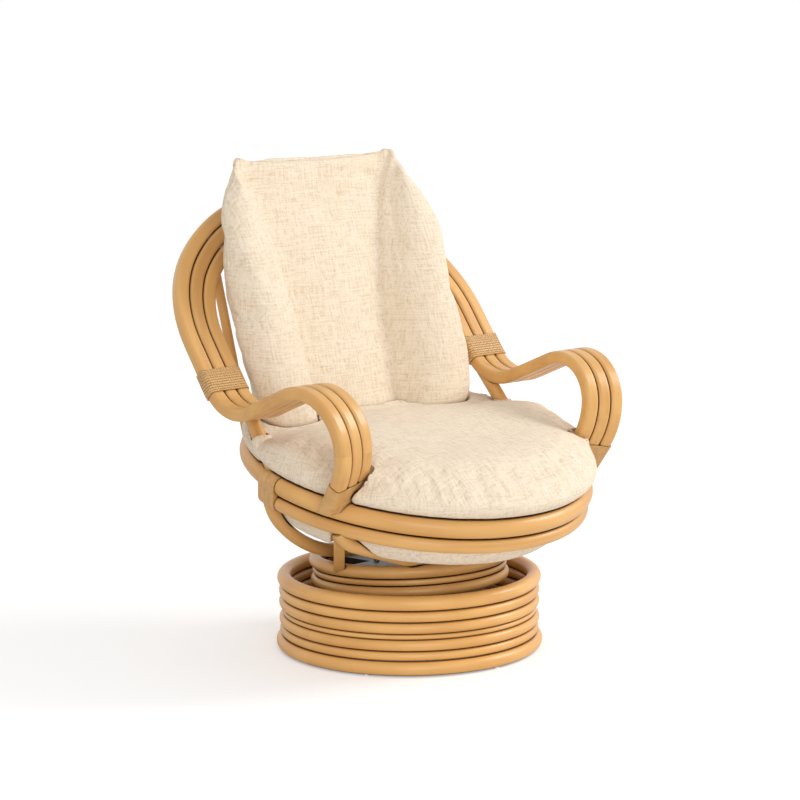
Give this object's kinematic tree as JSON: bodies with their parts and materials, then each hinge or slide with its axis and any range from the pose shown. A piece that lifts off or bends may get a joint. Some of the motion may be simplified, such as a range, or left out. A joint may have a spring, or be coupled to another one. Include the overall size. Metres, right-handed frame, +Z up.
{
  "type": "swivel rocker",
  "caption": "Rattan swivel rocker: three-cane back-and-arm loop and round hoop seat, rocking and turning on a drum of stacked hoops, with channelled back cushion",
  "frame": {"origin": "On the floor, in the middle of the chair's whole width and depth. The swivel axis is 14.75 mm in front of it, at y = -0.01475.", "axes": "+Z is up, the chair faces -Y and +X is on the right of someone looking at it from the front. The seat is stored in its rest pose, leaning back 2.9 degrees."},
  "size_m": [0.733, 0.758, 0.923],
  "materials": {
    "cane": "gloss",
    "board": "matte",
    "dark_board": "satin",
    "binding": "satin",
    "weave": "satin",
    "dark_steel": "satin",
    "steel": "satin",
    "ball_steel": "polished",
    "spring_steel": "satin",
    "brass_cage": "satin",
    "bush_plastic": "matte",
    "glide_plastic": "satin",
    "cushion_fabric": "matte"
  },
  "bodies": {
    "base": {"floor_glides": "glide_plastic", "base_hoop_foot": "cane", "base_hoop_1": "cane", "base_hoop_2": "cane", "base_hoop_3": "cane", "base_hoop_4": "cane", "base_hoop_5": "cane", "base_hoop_6": "cane", "base_nails": "steel", "base_board_long": "board", "base_board_cross": "board", "swivel_plate": "dark_steel", "base_bolts": "steel", "base_nuts": "steel", "king_pin": "steel"},
    "ball_race": {"bearing_balls": "ball_steel", "ball_cage": "brass_cage"},
    "turntable": {"turntable_plate": "dark_steel", "rocker_yoke": "dark_steel", "yoke_rivets": "steel", "pivot_pin": "steel", "pin_clip": "steel", "rocker_springs_front": "spring_steel", "rocker_springs_rear": "spring_steel"},
    "seat": {"rocker_hanger": "dark_steel", "pivot_bushes": "bush_plastic", "hanger_rivets": "steel", "seat_top_plate": "dark_steel", "plate_bolts": "steel", "plate_nuts": "steel", "upper_board_long": "dark_board", "upper_board_cross": "dark_board", "upper_nails": "steel", "upper_hoop_bottom": "cane", "upper_hoop_middle": "cane", "upper_hoop_top": "cane", "cradle_cane_front": "cane", "cradle_cane_rear": "cane", "strut_left": "cane", "strut_right": "cane", "strut_binding_left": "binding", "strut_binding_right": "binding", "seat_hoop_upper": "cane", "seat_hoop_lower": "cane", "hoop_wrap_left": "binding", "hoop_wrap_right": "binding", "arm_dowels": "board", "loop_cane_inner": "cane", "loop_cane_middle": "cane", "loop_cane_outer": "cane", "weave_wrap_left": "weave", "weave_wrap_right": "weave", "arm_band_left": "binding", "arm_band_right": "binding", "upright_left": "cane", "upright_right": "cane", "back_spindles_outer": "cane", "back_spindles_inner": "cane", "seat_cushion": "cushion_fabric", "back_cushion": "cushion_fabric"}
  },
  "joints": [
    {"name": "swivel", "type": "hinge", "parent": "base", "child": "turntable", "pos_m": [0, -0.01475, 0.0759], "axis": [0, 0, 1], "continuous": true},
    {"name": "race_spin", "type": "hinge", "parent": "base", "child": "ball_race", "pos_m": [0, -0.01475, 0.0724], "axis": [0, 0, 1], "continuous": true},
    {"name": "rock", "type": "hinge", "parent": "turntable", "child": "seat", "pos_m": [0, -0.01475, 0.107], "axis": [-1, 0, 0], "range_deg": [-10, 8], "stiffness_Nm_per_rad": 400, "deforming": ["rocker_springs_front", "rocker_springs_rear"]}
  ],
  "couplings": [
    {"joint": "race_spin", "follows": "swivel", "ratio": 0.5}
  ]
}
